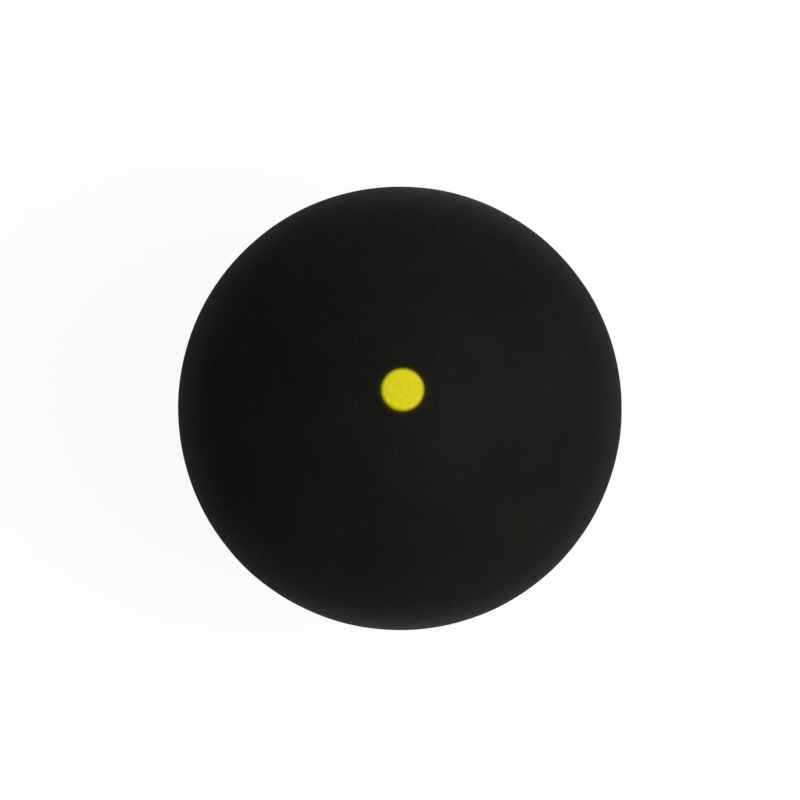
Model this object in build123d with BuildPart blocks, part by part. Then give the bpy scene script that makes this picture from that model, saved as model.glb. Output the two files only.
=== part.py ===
"""Squash ball: two moulded rubber half shells cemented rim to rim, with one printed dot.

Millimetres. The origin is the centre of the ball, +Z runs up through the middle of the dot,
and the seam lies in the XY plane. Every piece is turned about Z from a section drawn in the
XZ plane, where angles are measured from the seam up towards the dot.
"""

import os
from math import asin, cos, degrees, radians, sin

from build123d import *

# Driving dimensions
BALL_DIAMETER = 39.0  # across the buffed outside
WALL = 5.5  # rubber between the outside and the trapped air
CEMENT_FILM = 0.15  # cured cement between the two rims
RIM_BEVEL = 0.4  # ground off the inner corner of each rim, where cement gathers
BEAD_RISE = 0.3  # how far the squeezed-out cement stands in from the wall
DOT_DIAMETER = 3.5  # across the printed dot
INK_FILM = 0.05  # ink over most of the dot
INK_EDGE = 0.02  # ink at the edge of the dot
INK_SHOULDER = 0.1  # width over which the ink thins towards that edge

# Worked out from them
OUTER_RADIUS = BALL_DIAMETER / 2
INNER_RADIUS = OUTER_RADIUS - WALL
RIM_HEIGHT = CEMENT_FILM / 2
BEVEL_HEIGHT = RIM_HEIGHT + RIM_BEVEL
RIM_ANGLE = degrees(asin(RIM_HEIGHT / OUTER_RADIUS))
BEVEL_ANGLE = degrees(asin(BEVEL_HEIGHT / INNER_RADIUS))
DOT_ANGLE = degrees(asin(DOT_DIAMETER / 2 / OUTER_RADIUS))
SHOULDER_ANGLE = degrees(asin((DOT_DIAMETER / 2 - INK_SHOULDER) / OUTER_RADIUS))


def section_point(radius, angle):
    """The point of the section at this distance from the centre and angle above the seam."""
    return Vector(radius * cos(radians(angle)), radius * sin(radians(angle)))


# Corners that the half shells and the cement share
BEVEL_TOP = section_point(INNER_RADIUS, BEVEL_ANGLE)
BEVEL_FOOT = BEVEL_TOP + Vector(RIM_BEVEL, -RIM_BEVEL)

# Upper half shell: a thick rubber bowl, rim down, with its inner corner bevelled
with BuildPart() as upper_half_shell:
    with BuildSketch(Plane.XZ):
        with BuildLine():
            outside = CenterArc((0, 0), OUTER_RADIUS, RIM_ANGLE, 90 - RIM_ANGLE)
            inside = CenterArc((0, 0), INNER_RADIUS, BEVEL_ANGLE, 90 - BEVEL_ANGLE)
            Line(outside @ 1, inside @ 1)
            Polyline(inside @ 0, BEVEL_FOOT, outside @ 0)
        make_face()
    revolve(axis=Axis.Z)

# Lower half shell: the same moulding turned over
with BuildPart() as lower_half_shell:
    mirror(upper_half_shell.part, about=Plane.XY)

# Seam cement: a film between the rims, buffed flush outside, with a bead left on the inside
with BuildPart() as seam_cement:
    with BuildSketch(Plane.XZ):
        with BuildLine():
            flush_edge = CenterArc((0, 0), OUTER_RADIUS, -RIM_ANGLE, 2 * RIM_ANGLE)
            upper_side = Polyline(flush_edge @ 1, BEVEL_FOOT, BEVEL_TOP)
            mirror(upper_side, about=Plane.XZ)
            ThreePointArc(BEVEL_TOP, (INNER_RADIUS - BEAD_RISE, 0), (BEVEL_TOP.X, -BEVEL_TOP.Y))
        make_face()
    revolve(axis=Axis.Z)

# Yellow dot: a round film of ink on the pole of the upper half, thinning at its edge
with BuildPart() as yellow_dot:
    with BuildSketch(Plane.XZ):
        with BuildLine():
            underside = CenterArc((0, 0), OUTER_RADIUS, 90 - DOT_ANGLE, DOT_ANGLE)
            top = CenterArc((0, 0), OUTER_RADIUS + INK_FILM, 90 - SHOULDER_ANGLE, SHOULDER_ANGLE)
            Line(underside @ 1, top @ 1)
            Polyline(
                underside @ 0,
                section_point(OUTER_RADIUS + INK_EDGE, 90 - DOT_ANGLE),
                top @ 0,
            )
        make_face()
    revolve(axis=Axis.Z)

# One file for each piece
pieces = {
    "upper_half_shell": upper_half_shell,
    "lower_half_shell": lower_half_shell,
    "seam_cement": seam_cement,
    "yellow_dot": yellow_dot,
}
os.makedirs("parts", exist_ok=True)
for name, piece in pieces.items():
    piece.part.label = name
    export_step(piece.part, f"parts/{name}.step")
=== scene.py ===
"""Squash ball: the finish of its rubber halves, seam and printed dot, built around the packed solids.

Metres, in the same frame as the solids: the origin is the centre of the ball, +Z runs up through the
middle of the dot, and the seam lies in the XY plane.
"""

import math

import bpy
from bpy.props import FloatProperty, FloatVectorProperty, IntProperty, PointerProperty
from mathutils import Euler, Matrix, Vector, noise


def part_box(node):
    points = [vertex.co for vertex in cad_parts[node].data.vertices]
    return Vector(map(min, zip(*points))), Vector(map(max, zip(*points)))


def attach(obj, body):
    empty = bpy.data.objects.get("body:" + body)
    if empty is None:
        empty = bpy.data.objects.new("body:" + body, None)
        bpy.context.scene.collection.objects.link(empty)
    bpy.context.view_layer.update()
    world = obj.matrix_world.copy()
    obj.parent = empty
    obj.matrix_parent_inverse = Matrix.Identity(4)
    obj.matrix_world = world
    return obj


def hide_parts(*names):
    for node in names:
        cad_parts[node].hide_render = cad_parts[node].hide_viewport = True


bl_info = {
    "name": "Squash ball",
    "version": (1, 0, 0),
    "blender": (4, 5, 0),
    "location": "3D View > Sidebar > Squash ball",
    "description": "Builds a squash ball's rubber halves, cemented seam and printed dot",
    "category": "Add Mesh",
}

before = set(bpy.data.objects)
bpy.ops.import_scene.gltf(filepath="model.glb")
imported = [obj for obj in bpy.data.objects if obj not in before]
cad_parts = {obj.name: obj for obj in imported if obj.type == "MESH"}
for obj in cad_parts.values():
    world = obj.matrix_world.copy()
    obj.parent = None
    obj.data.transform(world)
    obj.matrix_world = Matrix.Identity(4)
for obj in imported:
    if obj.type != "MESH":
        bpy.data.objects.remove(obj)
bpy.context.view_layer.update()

MM = 0.001


def reaches(node):
    """Distances of a solid's corners from the centre of the ball."""
    return [vertex.co.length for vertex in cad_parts[node].data.vertices]


# Sizes of the solids
OUTER_RADIUS = max(reaches("upper_half_shell"))
INNER_RADIUS = min(reaches("upper_half_shell"))
BEAD_RADIUS = min(reaches("seam_cement"))
RIM_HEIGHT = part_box("upper_half_shell")[0].z
BEVEL_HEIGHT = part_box("seam_cement")[1].z
BEVEL_TOP_RADIUS = math.sqrt(INNER_RADIUS**2 - BEVEL_HEIGHT**2)
BEVEL_FOOT_RADIUS = BEVEL_TOP_RADIUS + BEVEL_HEIGHT - RIM_HEIGHT
DOT_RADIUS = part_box("yellow_dot")[1].x
INK_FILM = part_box("yellow_dot")[1].z - OUTER_RADIUS

# Each ring of a cap has this many points more than the ring inside it
QUARTERS = 4

# Steps along the curves of the small sections, and around and up the floor
SHOULDER_STEPS = 5
EDGE_STEPS = 6
BEAD_STEPS = 8
FLOOR_STEPS = 96
COVE_STEPS = 14

# Shading is smooth over edges that turn less than this
SHARP_EDGE = math.radians(40)

# Each layer of noise is this many times finer than the one before, and weaker by this power of that
LAYER_STEP = 2.0
LAYER_FADE = 1.0

# Waves of the printed edge within one radius of the dot
EDGE_WAVES = 1.3

# Share of the ink's thickness that is left at its edge
EDGE_FILM = 0.1

# Share of a pit's width that is its flat floor
PIT_FLOOR = 1 / 3

# Levels between which nearly all of a noise pattern lies
NOISE_LOW = 0.3
NOISE_HIGH = 0.7

# Levels of noise at which bloom starts and is full, and at which ink starts to thin and is thinnest
BLOOM_START = 0.35
BLOOM_FULL = 0.75
THIN_START = 0.4
THIN_FULL = 0.75

# The image, and how far to the left of its middle and below it the ball's centre lies, in pixels
IMAGE_SIZE = 800
BALL_OFFSET = (0.1, 8.4)

# The camera sees nothing nearer than this
CLIP_START = 10 * MM


def linear(hex_colour):
    """An sRGB hex colour as linear red, green and blue with full alpha."""
    channels = [int(hex_colour[start : start + 2], 16) / 255 for start in (1, 3, 5)]
    return [c / 12.92 if c <= 0.04045 else ((c + 0.055) / 1.055) ** 2.4 for c in channels] + [1.0]


def colour_property(name, description, default):
    """A colour that a user can change, given as sRGB hex."""
    return FloatVectorProperty(
        name=name,
        description=description,
        subtype="COLOR",
        size=4,
        min=0,
        max=1,
        default=linear(default),
    )


def length_property(name, description, default_mm):
    """A length that a user can change, given in millimetres."""
    return FloatProperty(
        name=name, description=description, unit="LENGTH", min=0, precision=6, default=default_mm * MM
    )


def angle_property(name, description, default_degrees):
    """An angle that a user can change, given in degrees."""
    return FloatProperty(
        name=name, description=description, subtype="ANGLE", default=math.radians(default_degrees)
    )


def strength_property(name, description, default):
    """The strength of a light that a user can change."""
    return FloatProperty(name=name, description=description, min=0, default=default)


class RubberSettings(bpy.types.PropertyGroup):
    """The two rubber halves."""

    colour: colour_property("Rubber", "Colour of the filled rubber", "#111110")
    bloom: colour_property("Bloom", "Colour where wax and sulphur have bloomed to the surface", "#161713")
    bloom_patch: length_property("Bloom patch", "Width of one patch of bloom", 6.0)
    grain: length_property("Grain", "Width of one grain of the buffed surface", 0.22)
    grain_depth: length_property("Grain depth", "Height of the buffed grain", 0.09)
    pit_spacing: length_property("Pit spacing", "Distance between pits that the wheel tore out", 0.9)
    pit_width: length_property("Pit width", "Width of one pit", 0.45)
    pit_depth: length_property("Pit depth", "Depth of one pit", 0.03)
    wave: length_property("Wave", "Length of the slow waves that buffing leaves", 6.0)
    wave_height: length_property("Wave height", "How far those waves leave a true sphere", 0.02)
    shoulder: length_property("Shoulder", "Rounding of the outer edge of each rim", 0.05)
    rings: IntProperty(name="Rings", description="Rings of points from pole to rim", default=96, min=8)


class CementSettings(bpy.types.PropertyGroup):
    """The cement between the halves."""

    colour: colour_property("Cement", "Colour of the cured cement", "#1B1A18")
    skin: length_property("Skin", "Width of one wrinkle of the dried skin", 0.6)
    skin_depth: length_property("Skin depth", "Height of those wrinkles", 0.02)
    recess: length_property("Recess", "How far the buffed cement stays below the ball's surface", 0.015)
    bead_waver: length_property("Bead waver", "How unevenly the inner bead was squeezed out", 0.12)
    waver_length: length_property("Waver length", "Length of one swell of the bead", 4.0)


class DotSettings(bpy.types.PropertyGroup):
    """The printed dot."""

    colour: colour_property("Ink", "Colour of the ink where it lies thick", "#D7CC1E")
    thin_colour: colour_property("Thin ink", "Colour of the ink where it lies thin", "#CCBF1B")
    stain_colour: colour_property("Stain colour", "Colour of the stained rubber at the edge", "#241F00")
    fade: length_property("Fade", "How far inside the printed edge the ink begins to thin", 0.29)
    fringe: length_property("Fringe", "How far thinned ink spreads past the printed edge", 0.12)
    stain: length_property("Stain", "How far beyond that the ink's solvent has stained the rubber", 0.38)
    edge_waver: length_property("Edge waver", "How far the printed edge strays from a circle", 0.05)
    mottle: length_property("Mottle", "Width of one patch of thicker or thinner ink", 0.35)
    mottle_depth: length_property("Mottle depth", "Height of those patches", 0.02)
    key_depth: length_property("Key depth", "How deep the ink has keyed into the rubber", 0.01)
    rings: IntProperty(name="Rings", description="Rings of points from middle to edge", default=28, min=8)


class StageSettings(bpy.types.PropertyGroup):
    """Floor, light and camera."""

    paper: colour_property("Paper", "Colour of the floor", "#E7E7E5")
    paper_white: FloatProperty(
        name="Paper white",
        description="How near to pure white the camera and reflections see the floor",
        subtype="FACTOR",
        min=0,
        max=1,
        default=0.94,
    )
    floor_radius: length_property("Floor radius", "Half the width of the flat floor", 900.0)
    cove_radius: length_property("Cove radius", "Radius of the curve that ends the floor", 420.0)
    cove_angle: angle_property("Cove angle", "How far that curve turns up", 70)
    key_strength: strength_property("Key strength", "Strength of the key light", 2.38)
    key_tilt: angle_property("Key tilt", "Angle of the key light from straight above", 42)
    key_turn: angle_property("Key turn", "Direction of that tilt, from the right", -14)
    key_spread: angle_property("Key spread", "Angle across the soft key light", 30)
    fill_strength: strength_property("Fill strength", "Strength of the broader light beside it", 1.68)
    fill_tilt: angle_property("Fill tilt", "Angle of the broader light from straight above", 33)
    fill_turn: angle_property("Fill turn", "Direction of that tilt, from the right", 5)
    fill_spread: angle_property("Fill spread", "Angle across the broader light", 50)
    room_strength: strength_property("Room", "Strength of the light from all round", 0.02)
    camera_lens: FloatProperty(
        name="Lens", description="Focal length", unit="CAMERA", subtype="DISTANCE_CAMERA", default=120
    )
    camera_lean: angle_property("Camera lean", "Turn of the camera about X from straight above", 4.48)
    camera_sway: angle_property("Camera sway", "Turn of the camera about Y from straight above", -0.65)
    camera_distance: length_property("Camera distance", "From the camera to the ball's centre", 235.2)


def add_node(tree, kind, attributes=None, inputs=None):
    """Adds a node, sets its attributes, and gives each input a value or a link from an output."""
    node = tree.nodes.new(kind)
    for name, value in (attributes or {}).items():
        setattr(node, name, value)
    for name, value in (inputs or {}).items():
        if isinstance(value, bpy.types.NodeSocket):
            tree.links.new(value, node.inputs[name])
        else:
            node.inputs[name].default_value = value
    return node


def new_material(name):
    """An empty material and its node tree."""
    material = bpy.data.materials.new(name)
    material.use_nodes = True
    material.node_tree.nodes.clear()
    return material, material.node_tree


def ink_end(dot):
    """Distance from the middle of the dot at which its thinned ink ends."""
    return DOT_RADIUS + dot.fringe


def buffed_black_rubber(settings, dot):
    """Moulded butyl rubber, filled with carbon black and buffed on a wheel."""
    # To the eye it is matte and nearly black face on, because the torn grain scatters the little light
    # that comes back, and it greys where it is seen along the surface. Wax and sulphur bloom to the
    # surface in faint patches, and solvent from the ink leaves a brown stain around the dot.
    material, tree = new_material("buffed_black_rubber")
    place = add_node(tree, "ShaderNodeTexCoord").outputs["Object"]

    # Real buffed grain is about 0.1 mm across, one pixel here, so it is drawn about twice as coarse
    grain = add_node(
        tree,
        "ShaderNodeTexNoise",
        inputs={"Vector": place, "Scale": 1 / settings.grain, "Detail": 2.0, "Roughness": 0.55},
    ).outputs["Fac"]
    pit_distance = add_node(
        tree,
        "ShaderNodeTexVoronoi",
        inputs={"Vector": place, "Scale": 1 / settings.pit_spacing, "Randomness": 1.0},
    ).outputs["Distance"]
    pit_edge = settings.pit_width / 2 / settings.pit_spacing
    unpitted = add_node(
        tree,
        "ShaderNodeMapRange",
        {"interpolation_type": "SMOOTHSTEP"},
        {"Value": pit_distance, "From Min": PIT_FLOOR * pit_edge, "From Max": pit_edge},
    ).outputs["Result"]
    height = add_node(
        tree,
        "ShaderNodeMath",
        {"operation": "MULTIPLY_ADD"},
        {0: unpitted, 1: settings.pit_depth / settings.grain_depth, 2: grain},
    ).outputs["Value"]
    bump = add_node(
        tree,
        "ShaderNodeBump",
        inputs={"Strength": 1.0, "Distance": settings.grain_depth, "Height": height},
    ).outputs["Normal"]

    bloom_patch = add_node(
        tree,
        "ShaderNodeTexNoise",
        inputs={"Vector": place, "Scale": 1 / settings.bloom_patch, "Detail": 4.0, "Roughness": 0.6},
    ).outputs["Fac"]
    bloom_share = add_node(
        tree,
        "ShaderNodeMapRange",
        inputs={"Value": bloom_patch, "From Min": BLOOM_START, "From Max": BLOOM_FULL},
    ).outputs["Result"]
    bloomed = add_node(
        tree,
        "ShaderNodeMix",
        {"data_type": "RGBA"},
        {"Factor": bloom_share, 6: settings.colour, 7: settings.bloom},
    ).outputs[2]
    dot_middle = (0.0, 0.0, OUTER_RADIUS)
    from_dot = add_node(
        tree, "ShaderNodeVectorMath", {"operation": "DISTANCE"}, {0: place, 1: dot_middle}
    ).outputs["Value"]
    clean_share = add_node(
        tree,
        "ShaderNodeMapRange",
        {"interpolation_type": "SMOOTHSTEP"},
        {"Value": from_dot, "From Min": ink_end(dot), "From Max": ink_end(dot) + dot.stain},
    ).outputs["Result"]
    colour = add_node(
        tree,
        "ShaderNodeMix",
        {"data_type": "RGBA"},
        {"Factor": clean_share, 6: dot.stain_colour, 7: bloomed},
    ).outputs[2]
    face_roughness = add_node(
        tree,
        "ShaderNodeMapRange",
        inputs={
            "Value": grain,
            "From Min": NOISE_LOW,
            "From Max": NOISE_HIGH,
            "To Min": 0.6,
            "To Max": 0.7,
        },
    ).outputs["Result"]

    # Seen along the surface, the grains hide each other's gloss, and only their fuzz still shows
    facing = add_node(tree, "ShaderNodeLayerWeight", inputs={"Blend": 0.5}).outputs["Facing"]
    roughness = add_node(
        tree,
        "ShaderNodeMapRange",
        inputs={
            "Value": facing,
            "From Min": 0.0,
            "From Max": 0.5,
            "To Min": face_roughness,
            "To Max": 1.0,
        },
    ).outputs["Result"]

    # Buffing has torn off nearly all the gloss that smooth rubber of this index has
    surface = add_node(
        tree,
        "ShaderNodeBsdfPrincipled",
        inputs={
            "Base Color": colour,
            "Roughness": roughness,
            "IOR": 1.52,
            "Specular IOR Level": 0.055,
            "Sheen Weight": 0.039,
            "Sheen Roughness": 0.3,
            "Normal": bump,
        },
    ).outputs["BSDF"]
    add_node(tree, "ShaderNodeOutputMaterial", inputs={"Surface": surface})
    return material


def cured_rubber_cement(settings):
    """Rubber solution brushed on the rims and cured under pressure."""
    # It dries with a skin, so to the eye it is a little smoother and paler than the rubber beside it
    material, tree = new_material("cured_rubber_cement")
    place = add_node(tree, "ShaderNodeTexCoord").outputs["Object"]
    skin = add_node(
        tree,
        "ShaderNodeTexNoise",
        inputs={"Vector": place, "Scale": 1 / settings.skin, "Detail": 3.0},
    ).outputs["Fac"]
    bump = add_node(
        tree,
        "ShaderNodeBump",
        inputs={"Strength": 1.0, "Distance": settings.skin_depth, "Height": skin},
    ).outputs["Normal"]
    roughness = add_node(
        tree,
        "ShaderNodeMapRange",
        inputs={
            "Value": skin,
            "From Min": NOISE_LOW,
            "From Max": NOISE_HIGH,
            "To Min": 0.42,
            "To Max": 0.6,
        },
    ).outputs["Result"]
    surface = add_node(
        tree,
        "ShaderNodeBsdfPrincipled",
        inputs={
            "Base Color": settings.colour,
            "Roughness": roughness,
            "IOR": 1.52,
            "Specular IOR Level": 0.1,
            "Normal": bump,
        },
    ).outputs["BSDF"]
    add_node(tree, "ShaderNodeOutputMaterial", inputs={"Surface": surface})
    return material


def pad_printed_yellow_ink(settings):
    """Opaque ink pressed on with a soft silicone pad and air dried."""
    # The film settles into the rubber's grain, so to the eye it is matte, its colour shifts slightly
    # with its thickness, and at its edge it thins until the stained rubber shows through
    material, tree = new_material("pad_printed_yellow_ink")
    place = add_node(tree, "ShaderNodeTexCoord").outputs["Object"]

    # Real mottle is as fine as the rubber's grain, so it is drawn several times coarser to show at all
    film = add_node(
        tree,
        "ShaderNodeTexNoise",
        inputs={"Vector": place, "Scale": 1 / settings.mottle, "Detail": 3.0, "Roughness": 0.6},
    ).outputs["Fac"]
    thin_share = add_node(
        tree,
        "ShaderNodeMapRange",
        inputs={"Value": film, "From Min": THIN_START, "From Max": THIN_FULL},
    ).outputs["Result"]
    body = add_node(
        tree,
        "ShaderNodeMix",
        {"data_type": "RGBA"},
        {"Factor": thin_share, 6: settings.colour, 7: settings.thin_colour},
    ).outputs[2]
    without_height = (1.0, 1.0, 0.0)
    across = add_node(
        tree, "ShaderNodeVectorMath", {"operation": "MULTIPLY"}, {0: place, 1: without_height}
    ).outputs["Vector"]
    reach = add_node(
        tree, "ShaderNodeVectorMath", {"operation": "LENGTH"}, {0: across}
    ).outputs["Value"]
    bare_share = add_node(
        tree,
        "ShaderNodeMapRange",
        {"interpolation_type": "SMOOTHSTEP"},
        {"Value": reach, "From Min": DOT_RADIUS - settings.fade, "From Max": ink_end(settings)},
    ).outputs["Result"]
    colour = add_node(
        tree,
        "ShaderNodeMix",
        {"data_type": "RGBA"},
        {"Factor": bare_share, 6: body, 7: settings.stain_colour},
    ).outputs[2]
    bump = add_node(
        tree,
        "ShaderNodeBump",
        inputs={"Strength": 1.0, "Distance": settings.mottle_depth, "Height": film},
    ).outputs["Normal"]

    # The torn grain under the film breaks up nearly all of its gloss
    surface = add_node(
        tree,
        "ShaderNodeBsdfPrincipled",
        inputs={
            "Base Color": colour,
            "Roughness": 0.55,
            "IOR": 1.5,
            "Specular IOR Level": 0.05,
            "Normal": bump,
        },
    ).outputs["BSDF"]
    add_node(tree, "ShaderNodeOutputMaterial", inputs={"Surface": surface})
    return material


def white_paper(settings):
    """Matte white paper, rolled smooth and laid as a floor."""
    # To the eye, in the picture and in reflections, it is close to pure white, shadow and all
    material, tree = new_material("white_paper")
    path = add_node(tree, "ShaderNodeLightPath").outputs
    seen = path["Is Camera Ray"]
    for kind in ("Is Glossy Ray", "Is Transmission Ray"):
        seen = add_node(
            tree, "ShaderNodeMath", {"operation": "MAXIMUM"}, {0: seen, 1: path[kind]}
        ).outputs["Value"]
    white_share = add_node(
        tree, "ShaderNodeMath", {"operation": "MULTIPLY"}, {0: seen, 1: settings.paper_white}
    ).outputs["Value"]
    lit = add_node(tree, "ShaderNodeBsdfDiffuse", inputs={"Color": settings.paper}).outputs["BSDF"]
    white = add_node(tree, "ShaderNodeEmission", inputs={"Strength": 1.0}).outputs["Emission"]
    surface = add_node(
        tree, "ShaderNodeMixShader", inputs={0: white_share, 1: lit, 2: white}
    ).outputs["Shader"]
    add_node(tree, "ShaderNodeOutputMaterial", inputs={"Surface": surface})
    return material


def ring_start(ring):
    """Index of a ring's first point, in a cap that has one point at its pole."""
    return 1 + QUARTERS * ring * (ring - 1) // 2 if ring else 0


def cap_points(rings, place):
    """Points of a cap, where place(share, turn) gives the one this share of the way out at this turn."""
    points = [place(0.0, 0.0)]
    for ring in range(1, rings + 1):
        count = QUARTERS * ring
        points += [place(ring / rings, math.tau * step / count) for step in range(count)]
    return points


def cap_faces(rings):
    """Triangles of a cap, facing away from its centre."""
    faces = []
    for ring in range(rings):
        near = ring_start(ring)
        far = ring_start(ring + 1)
        near_count = max(QUARTERS * ring, 1)
        far_count = QUARTERS * (ring + 1)
        for quarter in range(QUARTERS):
            for step in range(ring + 1):
                here = near + (quarter * ring + step) % near_count
                out = far + quarter * (ring + 1) + step
                out_next = far + (quarter * (ring + 1) + step + 1) % far_count
                faces.append((here, out, out_next))
                if step < ring:
                    faces.append((here, out_next, near + (quarter * ring + step + 1) % near_count))
    return faces


def loop_points(section, count):
    """Loops of points about Z, where section is a list of (radius, height)."""
    turns = [math.tau * step / count for step in range(count)]
    return [
        Vector((radius * math.cos(turn), radius * math.sin(turn), height))
        for radius, height in section
        for turn in turns
    ]


def loop_faces(starts, count):
    """Quads between loops of points that start at these indices, one after the other."""
    faces = []
    for first, second in zip(starts, starts[1:]):
        for step in range(count):
            after = (step + 1) % count
            faces.append((first + step, second + step, second + after, first + after))
    return faces


def flipped(faces, offset=0):
    """The same faces turned over, on points that start at offset."""
    return [tuple(offset + index for index in reversed(face)) for face in faces]


def direction(polar, turn):
    """Unit vector at this angle from +Z and this turn about it."""
    return Vector((math.sin(polar) * math.cos(turn), math.sin(polar) * math.sin(turn), math.cos(polar)))


def smooth_step(share):
    """Rises from 0 to 1 with level ends as share does, and stays there outside that range."""
    share = min(max(share, 0.0), 1.0)
    return share * share * (3 - 2 * share)


def uneven(place, layers):
    """Smooth noise about zero at this place, with this many layers."""
    return noise.fractal(place, LAYER_FADE, LAYER_STEP, layers)


def buffed(settings, point):
    """A point of the true ball, moved in or out with the slow waves that buffing leaves."""
    waves = uneven(point.normalized() * (OUTER_RADIUS / settings.wave), layers=3)
    return point * (1 + settings.wave_height * waves / OUTER_RADIUS)


def add_piece(name, points, faces, material, node):
    """Links a closed mesh to the scene, rides it on the ball and lets it stand for its solid."""
    mesh = bpy.data.meshes.new(name)
    mesh.from_pydata(points, [], faces)
    mesh.shade_smooth()
    mesh.set_sharp_from_angle(angle=SHARP_EDGE)
    mesh.materials.append(material)
    piece = bpy.data.objects.new(name, mesh)
    bpy.context.scene.collection.objects.link(piece)
    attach(piece, "root")
    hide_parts(node)


class BuildHalfShells(bpy.types.Operator):
    """Build the two rubber halves with their buffed outside, rim and hollow"""

    bl_idname = "squash_ball.half_shells"
    bl_label = "Rubber halves"

    def execute(self, context):
        settings = context.scene.squash_ball_rubber
        material = buffed_black_rubber(settings, context.scene.squash_ball_dot)
        faces = self.half_faces(settings.rings)
        upper = self.half_points(settings, 1)
        lower = self.half_points(settings, -1)
        lower_faces = flipped(faces)
        add_piece("buffed_upper_half", upper, faces, material, "upper_half_shell")
        add_piece("buffed_lower_half", lower, lower_faces, material, "lower_half_shell")
        return {"FINISHED"}

    def half_points(self, settings, side):
        """Points of the half on this side of the seam: outside, rounded shoulder, rim, then hollow."""
        shoulder_top = RIM_HEIGHT + settings.shoulder
        shoulder_middle = OUTER_RADIUS - settings.shoulder
        outside_end = math.acos(shoulder_top / OUTER_RADIUS)
        inside_end = math.acos(BEVEL_HEIGHT / INNER_RADIUS)
        shoulder = [
            (
                shoulder_middle + settings.shoulder * math.cos(angle),
                shoulder_top - settings.shoulder * math.sin(angle),
            )
            for angle in (math.pi / 2 * step / SHOULDER_STEPS for step in range(1, SHOULDER_STEPS + 1))
        ]

        def outside(share, turn):
            return direction(share * outside_end, turn) * OUTER_RADIUS

        def hollow(share, turn):
            return direction(share * inside_end, turn) * INNER_RADIUS

        count = QUARTERS * settings.rings
        worked = cap_points(settings.rings, outside) + loop_points(shoulder, count)
        rim_end = loop_points([(BEVEL_FOOT_RADIUS, RIM_HEIGHT)], count)
        moulded = rim_end + cap_points(settings.rings, hollow)
        turned = Vector((1, 1, side))
        outer = [buffed(settings, point * turned) for point in worked]
        inner = [point * turned for point in moulded]
        return outer + inner

    def half_faces(self, rings):
        """Faces of the upper half, on the points of half_points."""
        count = QUARTERS * rings
        loops_start = ring_start(rings + 1)
        hollow_start = loops_start + count * (SHOULDER_STEPS + 1)
        loops = [*range(loops_start, hollow_start, count)]
        cap = cap_faces(rings)
        wall = loop_faces([ring_start(rings), *loops, hollow_start + ring_start(rings)], count)
        return cap + wall + flipped(cap, hollow_start)


class BuildSeamCement(bpy.types.Operator):
    """Build the cement film between the rims, with its inner bead"""

    bl_idname = "squash_ball.seam_cement"
    bl_label = "Seam cement"

    def execute(self, context):
        settings = context.scene.squash_ball_cement
        rubber = context.scene.squash_ball_rubber
        count = QUARTERS * rubber.rings
        edge_radius = OUTER_RADIUS - rubber.shoulder
        bulge = rubber.shoulder - settings.recess
        bead_reach = BEVEL_TOP_RADIUS - BEAD_RADIUS
        edge = []
        for step in range(EDGE_STEPS + 1):
            share = 2 * step / EDGE_STEPS - 1
            swell = math.cos(math.pi / 2 * share)
            loop = loop_points([(edge_radius + bulge * swell, RIM_HEIGHT * share)], count)
            sunk = [self.wavered(settings, point, settings.recess * swell) for point in loop]
            edge += [buffed(rubber, point) for point in sunk]
        bead = []
        for step in range(BEAD_STEPS + 1):
            angle = math.pi * step / BEAD_STEPS
            swell = math.sin(angle)
            height = BEVEL_HEIGHT * math.cos(angle)
            loop = loop_points([(BEVEL_TOP_RADIUS - bead_reach * swell, height)], count)
            bead += [self.wavered(settings, point, settings.bead_waver * swell) for point in loop]
        foot = loop_points([(BEVEL_FOOT_RADIUS, RIM_HEIGHT)], count)
        far_foot = loop_points([(BEVEL_FOOT_RADIUS, -RIM_HEIGHT)], count)
        points = edge + foot + bead + far_foot
        faces = flipped(loop_faces([*range(0, len(points), count), 0], count))
        material = cured_rubber_cement(settings)
        add_piece("cured_seam_cement", points, faces, material, "seam_cement")
        return {"FINISHED"}

    def wavered(self, settings, point, amount):
        """A point moved in or out by about this amount, as cement swells and sinks along the seam."""
        across = Vector((point.x, point.y, 0))
        waver = uneven(across / settings.waver_length, layers=2)
        return point + across.normalized() * (amount * waver)


class BuildYellowDot(bpy.types.Operator):
    """Build the film of ink that marks the ball's speed"""

    bl_idname = "squash_ball.yellow_dot"
    bl_label = "Printed dot"

    def execute(self, context):
        settings = context.scene.squash_ball_dot
        rubber = context.scene.squash_ball_rubber
        rings = settings.rings
        fade_start = DOT_RADIUS - settings.fade
        fade_width = ink_end(settings) - fade_start
        bed_radius = OUTER_RADIUS - settings.key_depth

        def film_top(share, turn):
            """Point of the ink's own surface, which thins towards the printed edge."""
            reach = self.reach(settings, share, turn)
            bare = smooth_step((reach - fade_start) / fade_width)
            radius = OUTER_RADIUS + INK_FILM * (1 + (EDGE_FILM - 1) * bare)
            return buffed(rubber, direction(math.asin(reach / OUTER_RADIUS), turn) * radius)

        def film_bed(share, turn):
            """Point where the ink has keyed into the rubber."""
            reach = self.reach(settings, share, turn)
            return buffed(rubber, direction(math.asin(reach / OUTER_RADIUS), turn) * bed_radius)

        top = cap_points(rings, film_top)
        bed = cap_points(rings, film_bed)
        cap = cap_faces(rings)
        edge = loop_faces([ring_start(rings), len(top) + ring_start(rings)], QUARTERS * rings)
        faces = cap + edge + flipped(cap, len(top))
        material = pad_printed_yellow_ink(settings)
        add_piece("printed_yellow_dot", top + bed, faces, material, "yellow_dot")
        return {"FINISHED"}

    def reach(self, settings, share, turn):
        """Distance from the Z axis, with rings closer together towards the wavering edge."""
        stray = uneven(direction(math.pi / 2, turn) * EDGE_WAVES, layers=3)
        edge = ink_end(settings) + settings.edge_waver * stray
        return math.sin(share * math.pi / 2) * edge


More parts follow.
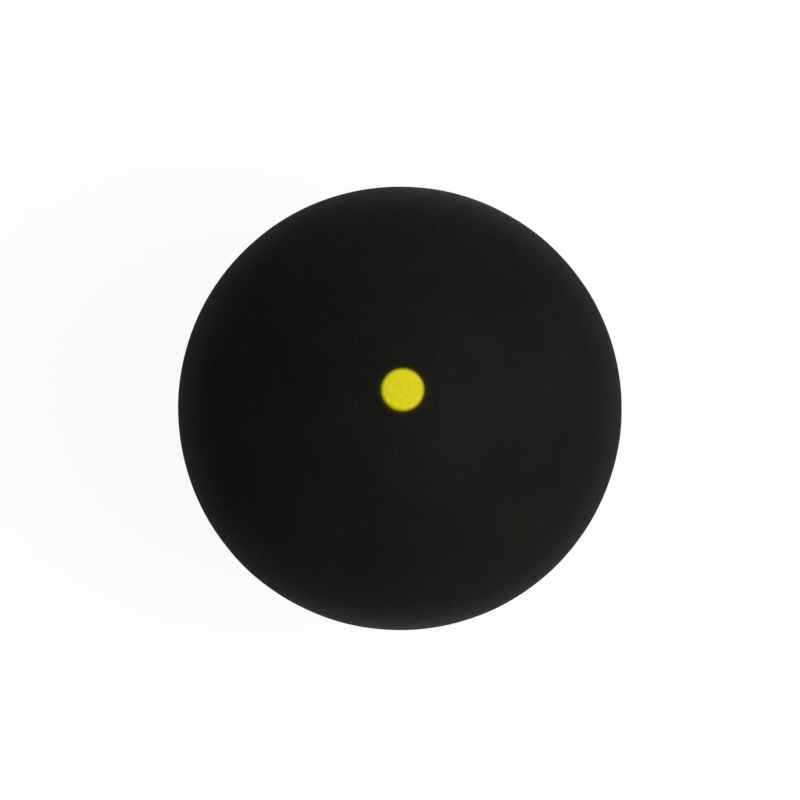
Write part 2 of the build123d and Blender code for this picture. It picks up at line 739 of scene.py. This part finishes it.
class BuildStage(bpy.types.Operator):
    """Build the white floor, the soft light and the camera"""

    bl_idname = "squash_ball.stage"
    bl_label = "Floor, light and camera"

    def execute(self, context):
        settings = context.scene.squash_ball_stage
        self.add_floor(context.scene, settings)
        self.add_light(context.scene, settings)
        self.add_camera(context.scene, settings)
        context.scene.view_settings.view_transform = "Standard"
        return {"FINISHED"}

    def add_floor(self, scene, settings):
        """A sheet of paper, flat under the ball and curving up low all round it."""
        curve = [
            (
                settings.floor_radius + settings.cove_radius * math.sin(angle),
                settings.cove_radius * (1 - math.cos(angle)) - OUTER_RADIUS,
            )
            for angle in (settings.cove_angle * step / COVE_STEPS for step in range(COVE_STEPS + 1))
        ]
        points = [Vector((0, 0, -OUTER_RADIUS))] + loop_points(curve, FLOOR_STEPS)
        middle = [(0, 1 + step, 1 + (step + 1) % FLOOR_STEPS) for step in range(FLOOR_STEPS)]
        faces = middle + loop_faces([*range(1, len(points), FLOOR_STEPS)], FLOOR_STEPS)
        mesh = bpy.data.meshes.new("paper_sweep")
        mesh.from_pydata(points, [], faces)
        mesh.shade_smooth()
        mesh.materials.append(white_paper(settings))
        floor = bpy.data.objects.new("paper_sweep", mesh)
        scene.collection.objects.link(floor)

    def add_light(self, scene, settings):
        """A soft key light high on the right, a broader one nearer the camera, and a dim room."""
        lamps = {
            "soft_key": (
                settings.key_strength,
                settings.key_spread,
                settings.key_tilt,
                settings.key_turn,
            ),
            "broad_fill": (
                settings.fill_strength,
                settings.fill_spread,
                settings.fill_tilt,
                settings.fill_turn,
            ),
        }
        for name, (strength, spread, tilt, turn) in lamps.items():
            lamp_data = bpy.data.lights.new(name, "SUN")
            lamp_data.energy = strength
            lamp_data.angle = spread
            lamp = bpy.data.objects.new(name, lamp_data)
            lamp.rotation_euler = Euler((0, tilt, turn))
            scene.collection.objects.link(lamp)
        world = bpy.data.worlds.new("plain_room")
        world.use_nodes = True
        background = world.node_tree.nodes["Background"]
        background.inputs["Color"].default_value = (1, 1, 1, 1)
        background.inputs["Strength"].default_value = settings.room_strength
        scene.world = world

    def add_camera(self, scene, settings):
        """A long lens nearly straight above the dot."""
        camera_data = bpy.data.cameras.new("camera")
        camera_data.lens = settings.camera_lens
        camera_data.shift_x = BALL_OFFSET[0] / IMAGE_SIZE
        camera_data.shift_y = BALL_OFFSET[1] / IMAGE_SIZE
        camera_data.clip_start = CLIP_START
        camera = bpy.data.objects.new("camera", camera_data)
        camera.rotation_euler = Euler((settings.camera_lean, settings.camera_sway, 0))
        camera.location = camera.rotation_euler.to_matrix() @ Vector((0, 0, settings.camera_distance))
        scene.collection.objects.link(camera)
        scene.camera = camera


class SquashBallPanel(bpy.types.Panel):
    """Lists the pieces of the squash ball and their settings"""

    bl_idname = "VIEW3D_PT_squash_ball"
    bl_label = "Squash ball"
    bl_space_type = "VIEW_3D"
    bl_region_type = "UI"
    bl_category = "Squash ball"

    def draw(self, context):
        for operator in OPERATORS:
            self.layout.operator(operator.bl_idname)
        for name, group in SETTINGS.items():
            column = self.layout.column()
            column.label(text=group.__doc__)
            for setting in group.__annotations__:
                column.prop(getattr(context.scene, name), setting)


SETTINGS = {
    "squash_ball_rubber": RubberSettings,
    "squash_ball_cement": CementSettings,
    "squash_ball_dot": DotSettings,
    "squash_ball_stage": StageSettings,
}
OPERATORS = (BuildHalfShells, BuildSeamCement, BuildYellowDot, BuildStage)
CLASSES = (*SETTINGS.values(), *OPERATORS, SquashBallPanel)


def register():
    for cls in CLASSES:
        bpy.utils.register_class(cls)
    for name, group in SETTINGS.items():
        setattr(bpy.types.Scene, name, PointerProperty(type=group))


def unregister():
    for name in SETTINGS:
        delattr(bpy.types.Scene, name)
    for cls in reversed(CLASSES):
        bpy.utils.unregister_class(cls)


def main():
    """Builds the ball and its stage."""
    register()
    bpy.ops.squash_ball.half_shells()
    bpy.ops.squash_ball.seam_cement()
    bpy.ops.squash_ball.yellow_dot()
    bpy.ops.squash_ball.stage()


if __name__ == "__main__":
    main()
